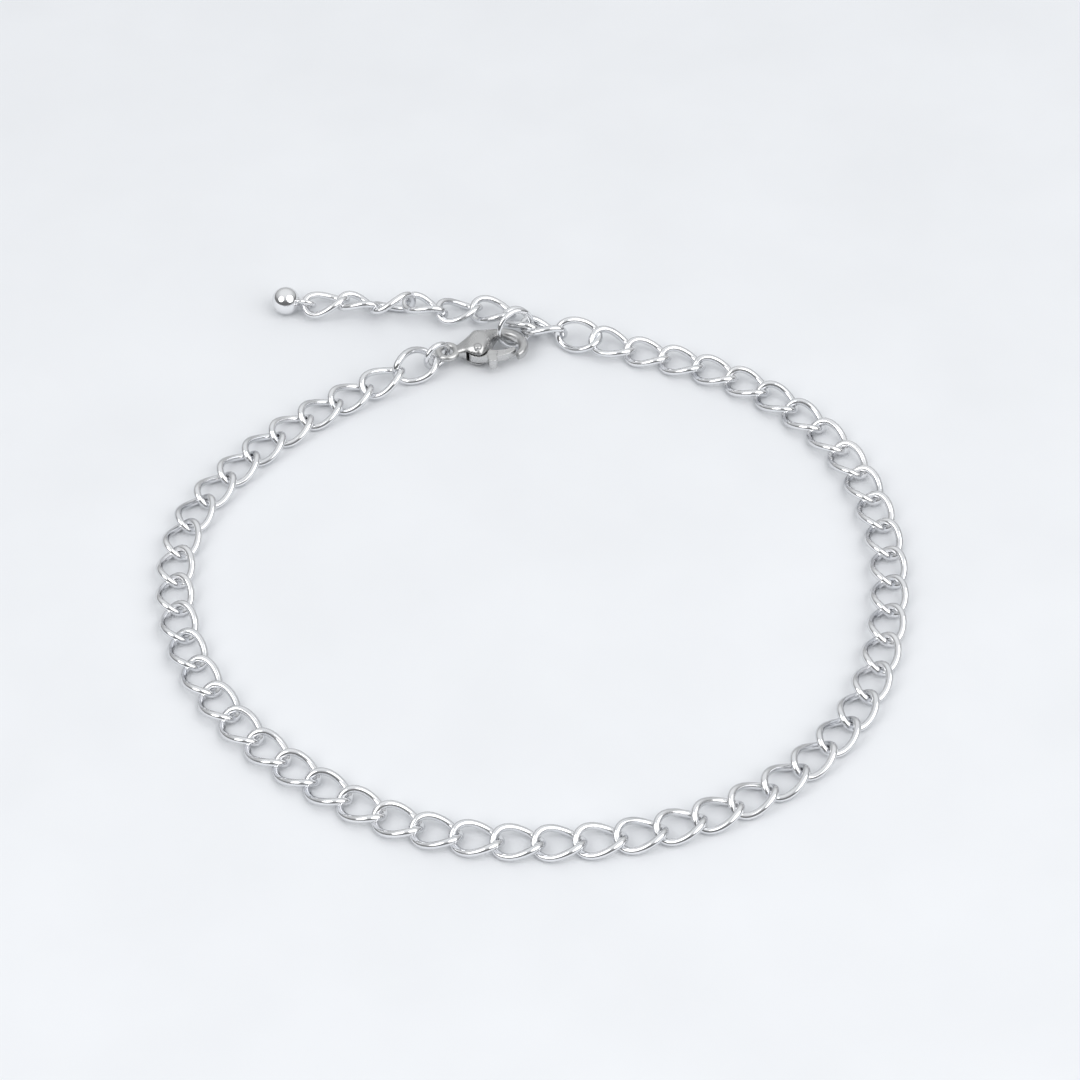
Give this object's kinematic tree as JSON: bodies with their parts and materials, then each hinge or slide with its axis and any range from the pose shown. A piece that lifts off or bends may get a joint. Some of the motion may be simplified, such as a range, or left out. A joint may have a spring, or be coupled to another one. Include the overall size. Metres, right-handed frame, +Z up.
{
  "type": "chain bracelet",
  "caption": "Closed curb chain bracelet lying flat, with a lobster clasp that opens, round rings, and a short extender chain ending in a ball.",
  "frame": {"origin": "on the surface that the bracelet lies on, below the middle of its whole box", "axes": "+Z up from that surface; the clasp and the extender are at the +Y side, and the front of the loop faces -Y; +X to the right as seen from the front"},
  "size_m": [0.0746, 0.0764, 0.0045],
  "materials": {
    "polished steel": "mirror-polished stainless steel",
    "clasp steel": "cast and tumbled stainless steel",
    "ball steel": "mirror-polished ball"
  },
  "bodies": {
    "bracelet": {"curb_chain": "polished steel", "clasp_ring": "polished steel", "clasp_body": "clasp steel", "end_ring": "polished steel", "extender_chain": "polished steel", "end_ball": "ball steel"},
    "lever": {"clasp_lever": "clasp steel"}
  },
  "joints": [
    {"name": "lever_hinge", "type": "hinge", "parent": "bracelet", "child": "lever", "pos_m": [-0.00574, 0.02812, 0.00145], "axis": [0, 0, 1], "range_deg": [0, 16], "stiffness_Nm_per_rad": 0.004, "springref_deg": -28.65}
  ]
}
